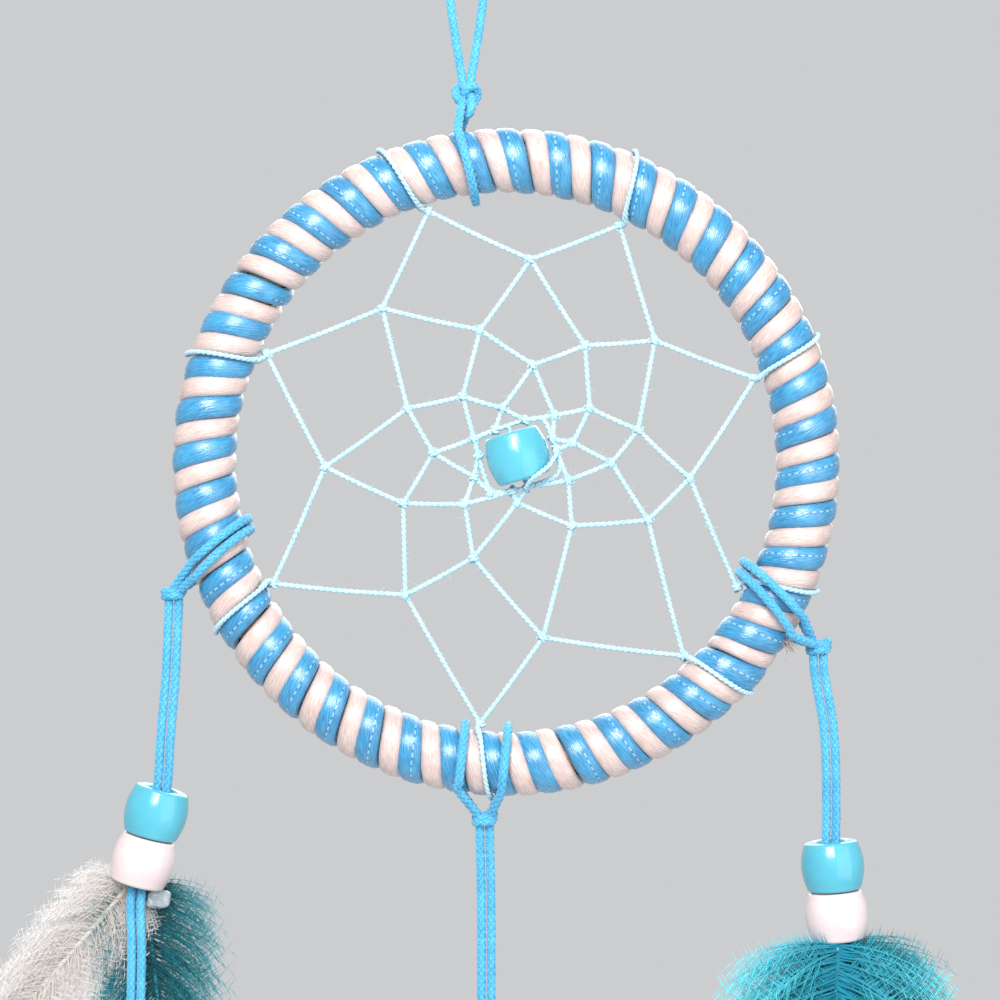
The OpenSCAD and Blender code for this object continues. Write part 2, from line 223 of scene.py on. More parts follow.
def braid(points, d, closed=False, pitch=4.4, step=0.3):
    """Eight yarns braided round a core: four each way, each going over and under the others."""
    p, s, length = evenly(points, step, closed)
    _, n, b = frames(p, closed)
    turns = max(1, round(length / pitch))
    w = 2 * np.pi * turns * s / length
    out = [(rings(p, n, b, 0.27 * d, 0.27 * d, 6), closed)]
    for way in (-1, 1):
        for k in range(4):
            a = (way * w + k * np.pi / 2)[:, None]
            radial = np.cos(a) * b + np.sin(a) * n
            wave = way * 0.075 * d * np.cos(4 * w)
            q = p + (0.31 * d + wave)[:, None] * radial
            tq = headings(q, closed)
            side = unit(np.cross(tq, radial))
            out.append((rings(q, np.cross(side, tq), side, 0.24 * d, 0.125 * d, 6), closed))
    return out


def plied(points, d, closed=False, pitch=1.7, step=0.24, plies=2):
    """A thread of twisted plies."""
    p, s, length = evenly(points, step, closed)
    _, n, b = frames(p, closed)
    w = 2 * np.pi * max(1, round(length / pitch)) * s / length
    out = []
    for k in range(plies):
        a = (w + 2 * np.pi * k / plies)[:, None]
        q = p + 0.15 * d * (np.cos(a) * b + np.sin(a) * n)
        out.append((rings(q, n, b, 0.34 * d, 0.34 * d, 6), closed))
    return out


# ---- Materials -----------------------------------------------------------------------------


class Value:
    """A node's output that takes part in shader arithmetic."""

    def __init__(self, tree, socket):
        self.tree, self.socket = tree, socket

    def _math(self, op, a, b=None):
        node = self.tree.nodes.new("ShaderNodeMath")
        node.operation = op
        put(self.tree, a, node.inputs[0])
        if b is not None:
            put(self.tree, b, node.inputs[1])
        return Value(self.tree, node.outputs[0])

    def __add__(self, o):
        return self._math("ADD", self, o)

    def __sub__(self, o):
        return self._math("SUBTRACT", self, o)

    def __mul__(self, o):
        return self._math("MULTIPLY", self, o)

    def fract(self):
        return self._math("FRACT", self)

    def abs(self):
        return self._math("ABSOLUTE", self)

    def below(self, o):
        return self._math("LESS_THAN", self, o)

    def clamp(self):
        return self._math("MINIMUM", self._math("MAXIMUM", self, 0.0), 1.0)


def put(tree, value, socket):
    if isinstance(value, Value):
        tree.links.new(value.socket, socket)
    else:
        socket.default_value = value


class Shader:
    def __init__(self, name, **constants):
        self.material = bpy.data.materials.new(name)
        self.material.use_nodes = True
        self.tree = self.material.node_tree
        self.bsdf = self.tree.nodes["Principled BSDF"]
        for key, value in constants.items():
            self.bsdf.inputs[key.replace("_", " ")].default_value = value

    def node(self, kind, out=0, inputs=(), **props):
        """A node of that kind with its inputs and properties set; returns one of its outputs."""
        n = self.tree.nodes.new(kind)
        for key, value in props.items():
            setattr(n, key, value)
        for key, value in dict(inputs).items():
            put(self.tree, value, n.inputs[key])
        return Value(self.tree, n.outputs[out])

    def attribute(self, name):
        return self.node("ShaderNodeAttribute", "Fac", attribute_name=name)

    def place(self):
        return self.node("ShaderNodeTexCoord", "Object")

    def noise(self, scale, detail=3.0, vector=None):
        return self.node("ShaderNodeTexNoise", "Fac", {
            "Vector": vector or self.place(), "Scale": scale, "Detail": detail})

    def mix(self, factor, a, b):
        n = self.tree.nodes.new("ShaderNodeMix")
        n.data_type = "RGBA"
        put(self.tree, factor, n.inputs[0])
        put(self.tree, a, n.inputs[6])
        put(self.tree, b, n.inputs[7])
        return Value(self.tree, n.outputs[2])

    def vector(self, x, y, z):
        return self.node("ShaderNodeCombineXYZ", 0, {0: x, 1: y, 2: z})

    def bump(self, height, strength, distance):
        return self.node("ShaderNodeBump", 0, {
            "Height": height, "Strength": strength, "Distance": distance})

    def set(self, key, value):
        put(self.tree, value, self.bsdf.inputs[key])
        return self


def rgb(r, g, b):
    """A display colour as a linear one."""
    return tuple(((c / 255 + 0.055) / 1.055) ** 2.4 for c in (r, g, b)) + (1.0,)


def satin(name, light, dark, stitched):
    """Fine filaments along the cord in a lighter and a darker shade; the blue cord is stitched."""
    m = Shader(name, Specular_IOR_Level=1.0, Sheen_Weight=0.15, Sheen_Roughness=0.3,
               Coat_Weight=0.5, Coat_Roughness=0.34)
    u, v = m.attribute("along"), m.attribute("around")
    fibres = m.noise(1.0, 4.0, m.vector(u * 0.7, v * 60.0 + u * 1.2, 0.0))
    blotch = m.noise(260.0, 2.0)
    shade = (fibres * 1.7 - 0.35 + (blotch - 0.5) * 0.6).clamp()
    colour = m.mix(shade, dark, light)
    height = fibres
    if stitched:
        seam = (v + (m.noise(90.0, 1.0) - 0.5) * 0.04 - 0.54).abs().below(0.009)
        seam = seam * (m.noise(38.0, 0.0) - 0.4).abs().below(0.2)
        stitch = seam * (u * 1.1).fract().below(0.6)
        colour = m.mix(stitch * 0.55, m.mix(seam * 0.5, colour, dark), rgb(180, 222, 238))
        height = fibres - seam + stitch * 1.6
    m.set("Base Color", colour).set("Normal", m.bump(height, 0.8, 0.00014))
    m.set("Roughness", shade * 0.14 + 0.2)
    return m.material


def yarn(name, light, dark, roughness=0.55):
    m = Shader(name, Sheen_Weight=0.4, Sheen_Roughness=0.4, Specular_IOR_Level=0.4)
    v = m.attribute("around")
    fibres = m.noise(1.0, 3.0, m.vector(m.attribute("along") * 1.6, v * 22.0, 0.0))
    shade = (fibres * 1.5 - 0.3 + (m.noise(320.0) - 0.5) * 0.6).clamp()
    m.set("Base Color", m.mix(shade, dark, light)).set("Normal", m.bump(fibres, 0.45, 0.00008))
    m.set("Roughness", shade * 0.1 + roughness - 0.05)
    return m.material


def plastic(name, light, dark):
    m = Shader(name, Coat_Weight=0.35, Coat_Roughness=0.06, Subsurface_Weight=0.12,
               Subsurface_Scale=0.002, Specular_IOR_Level=0.55)
    cloud = m.noise(190.0, 3.0)
    m.set("Base Color", m.mix(cloud, dark, light))
    m.set("Roughness", m.noise(420.0) * 0.14 + 0.16)
    m.set("Normal", m.bump(m.noise(900.0, 4.0), 0.12, 0.00006))
    return m.material


def barbs_look(name, root, tip, reach):
    """Barbs: one colour near the quill that turns into another further out."""
    m = Shader(name, Sheen_Weight=0.1, Sheen_Roughness=0.5, Specular_IOR_Level=0.2)
    far = m.attribute("out")
    speckle = m.noise(500.0, 2.0)
    m.set("Base Color", m.mix((far * reach + (speckle - 0.5) * 0.5).clamp(), root, tip))
    m.set("Roughness", speckle * 0.2 + 0.5)
    return m.material


def clear_glue():
    m = Shader("hot_glue", Transmission_Weight=0.75, IOR=1.48, Specular_IOR_Level=0.5)
    m.set("Base Color", m.mix(m.noise(300.0), rgb(214, 232, 240), rgb(240, 246, 248)))
    m.set("Roughness", m.noise(500.0) * 0.2 + 0.1)
    m.set("Normal", m.bump(m.noise(700.0, 3.0), 0.25, 0.0002))
    return m.material


LOOKS = {}


def make_looks():
    LOOKS.update(
        blue=satin("blue_satin", rgb(58, 168, 214), rgb(4, 84, 140), True),
        white=satin("white_satin", rgb(222, 205, 200), rgb(180, 150, 144), False),
        cord=yarn("azure_braid", rgb(108, 206, 238), rgb(16, 126, 184)),
        thread=yarn("web_yarn", rgb(214, 238, 246), rgb(128, 186, 210), 0.7),
        turquoise=plastic("turquoise_plastic", rgb(94, 188, 208), rgb(64, 156, 180)),
        pearl=plastic("white_plastic", rgb(226, 213, 213), rgb(204, 186, 188)),
        cane=yarn("ring_plastic", rgb(214, 200, 176), rgb(180, 160, 130)),
        white_barbs=barbs_look("white_feather", rgb(206, 200, 196), rgb(228, 224, 222), 1.0),
        teal_barbs=barbs_look("teal_feather", rgb(0, 84, 96), rgb(0, 130, 142), 1.3),
        sky_barbs=barbs_look("turquoise_feather", rgb(10, 140, 166), rgb(96, 208, 220), 1.2),
        quill=plastic("quill", rgb(214, 208, 200), rgb(190, 182, 170)),
        dyed_quill=plastic("dyed_quill", rgb(40, 130, 146), rgb(10, 92, 108)),
        glue=clear_glue(),
    )


# ---- Scattering small copies with geometry nodes -------------------------------------------


def scatter_tree():
    """Copies of one small object on the points, turned and sized by the points' attributes."""
    tree = bpy.data.node_groups.new("scatter_copies", "GeometryNodeTree")
    face = tree.interface
    for label, kind in (("Geometry", "NodeSocketGeometry"), ("Copy", "NodeSocketObject"),
                        ("Material", "NodeSocketMaterial"), ("Turn Spread", "NodeSocketFloat"),
                        ("Seed", "NodeSocketInt")):
        face.new_socket(label, in_out="INPUT", socket_type=kind)
    face.new_socket("Geometry", in_out="OUTPUT", socket_type="NodeSocketGeometry")
    new, link = tree.nodes.new, tree.links.new
    start, end = new("NodeGroupInput"), new("NodeGroupOutput")
    points = new("GeometryNodeMeshToPoints")
    info = new("GeometryNodeObjectInfo")
    turn, size = new("GeometryNodeInputNamedAttribute"), new("GeometryNodeInputNamedAttribute")
    turn.data_type, size.data_type = "FLOAT_VECTOR", "FLOAT_VECTOR"
    turn.inputs["Name"].default_value, size.inputs["Name"].default_value = "turn", "size"
    spread = new("FunctionNodeRandomValue")
    spread.data_type = "FLOAT_VECTOR"
    spread.inputs[0].default_value, spread.inputs[1].default_value = (-1, -1, -1), (1, 1, 1)
    scaled = new("ShaderNodeVectorMath")
    scaled.operation = "SCALE"
    added = new("ShaderNodeVectorMath")
    place, real = new("GeometryNodeInstanceOnPoints"), new("GeometryNodeRealizeInstances")
    paint = new("GeometryNodeSetMaterial")
    link(start.outputs["Geometry"], points.inputs["Mesh"])
    link(start.outputs["Copy"], info.inputs["Object"])
    link(start.outputs["Seed"], spread.inputs["Seed"])
    link(spread.outputs[0], scaled.inputs[0])
    link(start.outputs["Turn Spread"], scaled.inputs["Scale"])
    link(turn.outputs[0], added.inputs[0])
    link(scaled.outputs[0], added.inputs[1])
    link(points.outputs[0], place.inputs["Points"])
    link(info.outputs["Geometry"], place.inputs["Instance"])
    link(added.outputs[0], place.inputs["Rotation"])
    link(size.outputs[0], place.inputs["Scale"])
    link(place.outputs[0], real.inputs[0])
    link(real.outputs[0], paint.inputs["Geometry"])
    link(start.outputs["Material"], paint.inputs["Material"])
    link(paint.outputs[0], end.inputs[0])
    return tree


def scatter(name, places, axes, sizes, copy, material, spread, seed):
    """A plain mesh of copies at the places, in millimetres, each turned to its own 3x3 axes."""
    mesh = bpy.data.meshes.new(name)
    mesh.from_pydata((np.array(places) * MM).tolist(), [], [])
    euler = [list(Matrix(a.tolist()).to_euler()) for a in axes]
    for key, values in (("turn", euler), ("size", sizes)):
        layer = mesh.attributes.new(key, "FLOAT_VECTOR", "POINT")
        layer.data.foreach_set("vector", np.array(values, np.float32).ravel())
    obj = bpy.data.objects.new(name, mesh)
    bpy.context.scene.collection.objects.link(obj)
    tree = bpy.data.node_groups.get("scatter_copies") or scatter_tree()
    mod = obj.modifiers.new("copies", "NODES")
    mod.node_group = tree
    ids = {i.name: i.identifier for i in tree.interface.items_tree if i.in_out == "INPUT"}
    mod[ids["Copy"]] = copy
    mod[ids["Material"]] = material
    mod[ids["Turn Spread"]] = spread
    mod[ids["Seed"]] = seed
    bpy.context.view_layer.update()
    graph = bpy.context.evaluated_depsgraph_get()
    plain = bpy.data.meshes.new_from_object(obj.evaluated_get(graph))
    obj.modifiers.clear()
    obj.data = plain
    return obj


def join(name, objects):
    """One object from several."""
    with bpy.context.temp_override(active_object=objects[0], selected_editable_objects=objects,
                                   selected_objects=objects):
        bpy.ops.object.join()
    objects[0].name = name
    return objects[0]


def hair(line, radius, side=(0, 1.0, 0)):
    """A three-sided hair along a line that runs mostly in XY."""
    up = np.tile([0, 0, 1.0], (len(line), 1))
    return rings(line, up, np.tile(side, (len(line), 1)), radius, radius, 3), False


def barb(name, bend, downs, down_l, thick, seed):
    """A barb one unit long on +X that bends towards +Y, with fine barbules along both its sides."""
    rng = np.random.default_rng(seed)
    x = np.linspace(0, 1, 6)
    line = np.stack([x * (1 - 0.12 * x), bend * x**2, 0.0 * x], axis=1)
    grids = [hair(line, thick * (1.1 - x))]
    for i in range(downs):
        s = 0.08 + 0.9 * (i + rng.random()) / downs
        root = vec(s * (1 - 0.12 * s), bend * s * s, 0)
        side = 1 if i % 2 else -1
        out = unit(vec(0.75, side * 1.0, rng.normal() * 0.45)) * down_l * (1.1 - 0.5 * s)
        out = out * rng.uniform(0.6, 1.1)
        square = unit(np.cross(out, [0, 0, 1.0]))
        grids.append(hair(np.array([root, root + out]), thick * vec(0.45, 0.08), square))
    obj = mesh_of(name, [(g / MM, c) for g, c in grids], LOOKS["white_barbs"], shade=False)
    layer = obj.data.attributes.new("out", "FLOAT", "POINT")
    co = np.zeros(len(obj.data.vertices) * 3)
    obj.data.vertices.foreach_get("co", co)
    layer.data.foreach_set("value", co.reshape(-1, 3)[:, 0].astype(np.float32))
    obj.data.transform(Matrix.Scale(MM, 4))
    for key in ("along", "around"):
        obj.data.attributes.remove(obj.data.attributes[key])
    return obj


def square_to(x, way):
    """Axes with x first and y as near to way as it can be."""
    y = unit(way - (way @ x) * x)
    return np.stack([x, y, np.cross(x, y)], axis=1)


def feather(name, root, lean, length, half, look, seed, fluffy, bow):
    """A feather that hangs from root: a quill and two rows of barbs, and down on a plain one."""
    rng = np.random.default_rng(seed)
    way = vec(-math.sin(math.radians(lean)), 0, -math.cos(math.radians(lean)))
    side = vec(way[2], 0, -way[0])
    s = np.linspace(0, 1, 24)
    line = root + np.outer(s * length, way) + np.outer(bow * s**2, side)
    quill_r = 0.42 * (1 - 0.8 * s) + 0.04
    _, n, b = frames(line)
    quill = mesh_of(name, [(rings(line, n, b, quill_r, quill_r, 8), False)],
                    LOOKS["quill" if look == "white_barbs" else "dyed_quill"])
    count = int(length * 10)
    places, axes, sizes = [], [], []
    for k in range(count):
        for hand in (-1, 1):
            f = 0.01 + 0.99 * ((k + rng.random()) / count) ** (1.35 if fluffy else 1.0)
            at = root + way * length * f + bow * f**2 * side
            reach = half(f) * rng.uniform(0.8, 1.08)
            swept = -6 + 85 * f**0.6 if fluffy else 38 + 22 * f
            swept = math.radians(swept + rng.normal() * (7 if fluffy else 4))
            x = math.cos(swept) * hand * side + math.sin(swept) * way
            if fluffy:
                x = unit(x + vec(0, rng.normal() * 0.22, 0) + side * rng.normal() * 0.1)
            places.append(at + vec(0, rng.normal() * (0.35 if fluffy else 0.06), 0))
            axes.append(square_to(x, way))
            sizes.append((reach, reach, reach))
    soft, plain = bpy.data.objects["soft_barb"], bpy.data.objects["plain_barb"]
    barbs = name + "_barbs"
    if fluffy:
        return join(name, [quill, scatter(barbs, places, axes, sizes, soft, LOOKS[look], 0.1, seed)])
    vane = scatter(barbs, places, axes, sizes, plain, LOOKS[look], 0.04, seed)
    places, axes = [], []
    for _ in range(70):
        places.append(root + way * length * (0.02 + 0.2 * rng.random()))
        axes.append(square_to(unit(rng.normal(size=3) * vec(1, 0.5, 0.4) + way * 0.5), way))
    sizes = [(half(0.4) * 0.9,) * 3] * len(places)
    down = scatter(name + "_down", places, axes, sizes, soft, LOOKS[look], 0.2, seed + 1)
    return join(name, [quill, vane, down])


# ---- Pieces --------------------------------------------------------------------------------


def keep(obj, node, body):
    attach(obj, body)
    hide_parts(node)
    return obj


def wrap(name, start, share, look, turns):
    """One satin cord wound round the ring, with its turns' small unevenness."""
    rng = np.random.default_rng(7 if look == "blue" else 8)
    steps, sides = 28, 12
    n = turns * steps
    i = np.arange(n)
    v = 2 * np.pi * i / steps
    wobble = np.convolve(rng.normal(size=n + 56), np.hanning(57) / 7.5, "same")[28:-28]
    a = np.radians(start) - 2 * np.pi * i / n + 0.005 * wobble * np.hanning(n + 2)[1:-1] ** 0.1
    thick = CORE_D / 2 + 0.1
    r = TUBE_R - thick
    out = np.stack([np.cos(v) * np.cos(a), -np.sin(v), np.cos(v) * np.sin(a)], axis=1)
    ring = HOOP + HOOP_R * np.stack([np.cos(a), 0 * a, np.sin(a)], axis=1)
    p = ring + (thick + r / 2) * out
    t = unit(np.roll(p, -1, axis=0) - np.roll(p, 1, axis=0))
    side = unit(np.cross(out, t))
    hoop_way = np.stack([-np.sin(a), 0 * a, np.cos(a)], axis=1)
    pitch = 2 * np.pi * (HOOP_R + (thick + r / 2) * np.cos(v)) / turns
    w = share * pitch * np.linalg.norm(np.cross(t, hoop_way), axis=1) + 0.22
    tall = 1 + 0.04 * np.roll(wobble, 90)
    # The cords' ends meet low on the right, where a blue turn lies wide; upper left they are narrower
    ends = bump_at(a, 320.5, 3.2)
    slipped = bump_at(a, 143, 2.2)
    w = w * (1 + (0.5 if look == "blue" else -0.3) * ends - 0.16 * slipped)
    tall = tall * (1 + (0.3 if look == "blue" else -0.15) * ends)
    grids = [(rings(p, out, side, w / 2, r / 2 * tall, sides, -np.pi / 2, 0.8), True)]
    if look == "white":
        # Its frayed end
        for _ in range(26):
            root = tube_point(TUBE_R - 0.5, 327.2 + rng.normal() * 0.5, 24 + rng.normal() * 5)
            away = unit(vec(0.9, -0.5 + rng.normal() * 0.3, -0.7 + rng.normal() * 0.4))
            away = away * rng.uniform(1.2, 2.6)
            droop = vec(rng.normal() * 0.3, rng.normal() * 0.3, -0.4)
            line = smooth([root, root + away * 0.5, root + away + droop], 3)
            grids.append(round_tube(line, 0.07 * np.linspace(1, 0.4, len(line)), 5))
    return keep(mesh_of(name + "_look", grids, LOOKS[look]), name, "hoop")


def bump_at(a, degrees, width):
    """1 where the angle a is at degrees, falling off within the width."""
    off = (np.degrees(a) - degrees + 180) % 360 - 180
    return np.exp(-((off / width) ** 2))


# The web's knots in tying order, across and up from the hoop's middle. They are drawn for an inner
# radius of WEB_DRAWN_R, and the first ANCHORS of them are on the hoop
WEB_DRAWN_R = 37.6
ANCHORS = 8
WEB = [
    (33.1, -17.9), (35.6, 12), (16.3, 34), (-11.1, 35.9), (-34.3, 15.5), (-33, -17.2), (-3.7, -37.4),
    (25.4, -27.7), (26.3, -2.3), (21.3, 17.4), (3.5, 29), (-17.7, 22), (-25.9, -0.7), (-14.4, -19),
    (5.3, -25.1), (20.3, -8.3), (18.9, 4.6), (11.3, 16.7), (-3.7, 18.9), (-14.1, 7.7),
    (-14.7, -5.9), (-4.7, -13.7), (9.4, -9.1), (15.1, -0.1), (12, 7.7), (3.9, 13.9), (-6.2, 9.4),
    (-10.4, 1.3), (-5.9, -6), (1.6, -5.8), (8.9, -2.6), (9.6, 2.8), (6.9, 6.7), (-0.5, 7.7),
    (-4.6, 3.4), (-4.6, -2.1),
]
# The thread's last turn round the bead as (across, along, knotted). turn_point sets how far past the
# bead's side or end each point stands
LAST_TURN = [
    (-0.7, -1.1, 1), (0, -1.2, 1), (1.2, -0.7, 0), (1.9, -0.15, 1), (1.9, 0.15, 1), (1.4, 0.5, 0),
    (0.75, 1.1, 1), (0, 1.1, 0), (-0.65, 1, 1), (-1.2, 0.6, 0), (-1.8, 0.3, 1), (-1.7, -0.45, 1),
    (-1.2, -0.6, 0),
]


def bead_frame():
    along = np.array(JOINTS["bead_spin"]["axis"])
    return pivot("bead_spin"), vec(along[2], 0, -along[0]), along


def turn_point(q):
    """A point of the last turn, clear of the bead's side or end."""
    centre, across, along = bead_frame()
    x, y = q[0], q[1]
    dx = np.sign(x) * max(0, 4.5 * min(1, abs(x) / 1.2) + (abs(x) - 1) * 1.1)
    dy = np.sign(y) * (abs(y) * 5.5 if abs(y) < 0.4 else 3.5 + abs(y) - 0.05)
    return centre + dx * across + dy * along


def web():
    """The web of one thread: its runs, knots, last turn, loops round the hoop and fuzz."""
    inner = HOOP_R - TUBE_R - 0.9
    knots = [HOOP + (inner * unit(vec(x, 0, z)) if k < ANCHORS else vec(x, 0, z) * inner / WEB_DRAWN_R)
             for k, (x, z) in enumerate(WEB)]
    knots += [turn_point(q) for q in LAST_TURN if q[2]]
    runs = []
    for k in range(ANCHORS, len(knots)):
        runs += [(knots[k - ANCHORS], knots[k]), (knots[k], knots[k - ANCHORS + 1])]
    ring = [turn_point(q) for q in LAST_TURN]
    grids = plied(smooth(ring, 4, True), THREAD_D, closed=True)
    # One run goes through the bead's bore
    runs.append((ring[1], ring[7]))
    rng = np.random.default_rng(3)
    for a, b in runs:
        sag = vec(0, rng.normal() * 0.25, -0.25) * np.linalg.norm(b - a) / 25
        grids += plied(smooth([a, (a + b) / 2 + sag, b], 8), THREAD_D)
    for k, p in enumerate(knots):
        nxt = unit((runs[min(k, len(runs) - 1)][1] - p) + vec(0.01, 0.02, 0.03))
        y = unit(np.cross(nxt, vec(0, 1, 0)))
        coil = np.linspace(0, 2.6 * 2 * np.pi, 34)[:, None]
        q = p + 0.5 * (np.cos(coil) * y + np.sin(coil) * vec(0, 1, 0)) + nxt * (coil / 16.3 - 0.5)
        grids += plied(q, 0.66, step=0.16)
    # An end of thread lies over the bead's lower right edge
    across_bead = [(5.6, -0.2, 0.3), (5.0, -2.0, -0.5), (4.4, -2.7, -1.4), (3.2, -3.7, -2.4),
                   (1.9, -3.2, -3.4), (1.1, -1.2, -4.6)]
    grids += plied(smooth([bead_frame()[0] + vec(*q) for q in across_bead], 6), THREAD_D)
    pair = 360 / TURNS
    for knot_at, (x, z) in zip(knots, WEB[:ANCHORS]):
        # The loop round the hoop lies in the nearest groove between a blue and a white turn
        a = math.degrees(math.atan2(z, x))
        a = min((g + pair * round((a - g) / pair) for g in (-0.235 * pair, -0.765 * pair)),
                key=lambda g: abs(g - a))
        loop = [tube_point(TUBE_R + 0.38, a + pair * abs(180 - v) / 360, v)
                for v in range(0, 360, 12)]
        grids += plied(np.array(loop), THREAD_D, closed=True)
        for v in (140, 220):
            bend = tube_point(TUBE_R + 0.6, a, 180 + (v - 180) * 0.35)
            leg = tube_point(TUBE_R + 0.3, a + pair * 0.1, v)
            grids += plied(smooth([knot_at, bend, leg], 6), THREAD_D)
    thread = mesh_of("web_thread_yarn", grids, LOOKS["thread"])
    places, axes = [], []
    for a, b in runs:
        for f in rng.random(int(np.linalg.norm(b - a) * 2.1)):
            x = unit(rng.normal(size=3) + unit(b - a) * 0.8)
            y = unit(np.cross(x, rng.normal(size=3)))
            places.append(a + (b - a) * f)
            axes.append(np.stack([x, y, np.cross(x, y)], axis=1))
    sizes = [(s, s, s) for s in rng.uniform(0.7, 1.5, len(places))]
    fibre = bpy.data.objects["fuzz_fibre"]
    fuzz = scatter("web_fuzz", places, axes, sizes, fibre, LOOKS["thread"], 0.3, 5)
    keep(join("web_thread_look", [thread, fuzz]), "web_thread", "hoop")


def bead(node, body, look):
    """A pony bead turned from its profile, with the mould's faint parting line on both sides."""
    return keep(lathe(node + "_look", LOOKS[look], *bead_place(node)), node, body)


def bead_place(node):
    """Its centre and axis. A drop's beads lean along the line through both of them."""
    if node == "centre_bead":
        centre, _, along = bead_frame()
        return centre, along
    drop = node.split("_")[0]
    a, b = middle(f"{drop}_blue_bead"), middle(f"{drop}_white_bead")
    return middle(node), unit(a - b)


def bead_profile():
    """Radius and height round the bead's wall: its belly, an end, its bore and the other end."""
    swell, edge, end_r = 0.55, 0.6, 2.9
    waist = BEAD_L / 2 - edge
    rim_r = BEAD_D / 2 - swell - edge
    mouth_r = BEAD_BORE / 2 + edge
    belly = [(BEAD_D / 2 - swell * (h / waist) ** 2, h) for h in np.linspace(-waist, waist, 13)]
    top = [(rim_r + edge * math.cos(a), waist + edge * math.sin(a))
           for a in np.radians([20, 40, 60, 80, 90])]
    top.append((end_r, BEAD_L / 2))
    top += [(mouth_r - edge * math.sin(a), waist + edge * math.cos(a))
            for a in np.radians([10, 30, 50, 70, 90])]
    bottom = [(r, -h) for r, h in reversed(top)]
    return belly + top + [(BEAD_BORE / 2, h) for h in (1.5, 0, -1.5)] + bottom


def lathe(name, material, centre, along):
    across = unit(np.cross(along, vec(0, 1, 0)))
    front = np.cross(across, along)
    profile = bead_profile()
    m = 72
    grid = np.zeros((m, len(profile), 3))
    for i in range(m):
        a = 2 * np.pi * i / m
        flash = 0.05 if i in (m // 4, 3 * m // 4) else 0.0
        for k, (r, h) in enumerate(profile):
            r = r + (flash if r > 3.2 and abs(h) < 3.3 else 0)
            grid[i, k] = centre + r * (math.cos(a) * across + math.sin(a) * front) + h * along
    return mesh_of(name, [(grid, True)], material)


def knot_line(size, tall=1.0):
    a = np.radians(np.arange(0, 360, 6))
    return np.stack([size * (np.sin(a) + 2 * np.sin(2 * a)) * 0.72, size * np.sin(3 * a) * 0.95,
                     size * (np.cos(a) - 2 * np.cos(2 * a)) * tall], axis=1)


LOOP_H = 44.3  # from the loop's top down to where its strands meet
LOOP_DRAWN_H = 34  # the strand's points are drawn for this height and scaled to fit


def hanging():
    """The loop over the nail, the knot under it and the eye round the hoop."""
    bend_r = 4.34
    rise = LOOP_H - CORD_D / 2 - bend_r
    left = [vec(x, 0, z * rise / LOOP_DRAWN_H) for x, z in
            ((-0.5, -1.6), (-0.7, 0), (-1.1, 2), (-2, 7), (-3, 14), (-3.9, 22), (-4.4, 29))]
    bend = [vec(bend_r * math.cos(a), 0, rise + bend_r * math.sin(a))
            for a in np.radians(range(165, 0, -15))]
    right = [q * vec(-1, 1, 1) for q in left[::-1]]
    line = smooth(left + bend + right, 6) - vec(0, 0, LOOP_H)
    loop = mesh_of("hanging_loop_look", braid(line, CORD_D), LOOKS["cord"])
    keep(loop, "hanging_loop", "loop")
    knot = braid(middle("hanging_knot") + knot_line(0.8), CORD_D, closed=True)
    knot = mesh_of("hanging_knot_look", knot, LOOKS["cord"])
    keep(knot, "hanging_knot", "knot")
    eye_at = pivot("hoop_swing")
    a = math.degrees(math.atan2(*(eye_at - HOOP)[[2, 0]]))
    top = vec(0, 0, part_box("hanging_knot")[0][2] / MM + 2.2)
    ring = [tube_point(TUBE_R + 1.0, a + 0.9 * math.cos(math.radians(v)), v)
            for v in range(34, 330, 16)]
    line = smooth([top + vec(-0.6, -0.5, 0)] + ring + [top + vec(0.7, 0.6, 0)], 5)
    eye = mesh_of("hanging_eye_look", braid(line, CORD_D), LOOKS["cord"])
    keep(eye, "hanging_eye", "knot")


def strand(lump, outer, inner, lift, spread):
    """A hitch's strand: from the lump over the tube's front, round the inner edge and back behind."""
    rho = TUBE_R + CORD_D / 2 + 0.02 + lift
    arc = []
    for v in range(44, 325, 14):
        a = outer + (inner - outer) * (1 - math.cos(math.radians(v))) / 2
        arc.append(tube_point(rho, a, v))
    return braid(smooth([lump + spread] + arc + [lump + spread * vec(1, -1, 1)], 5), CORD_D)


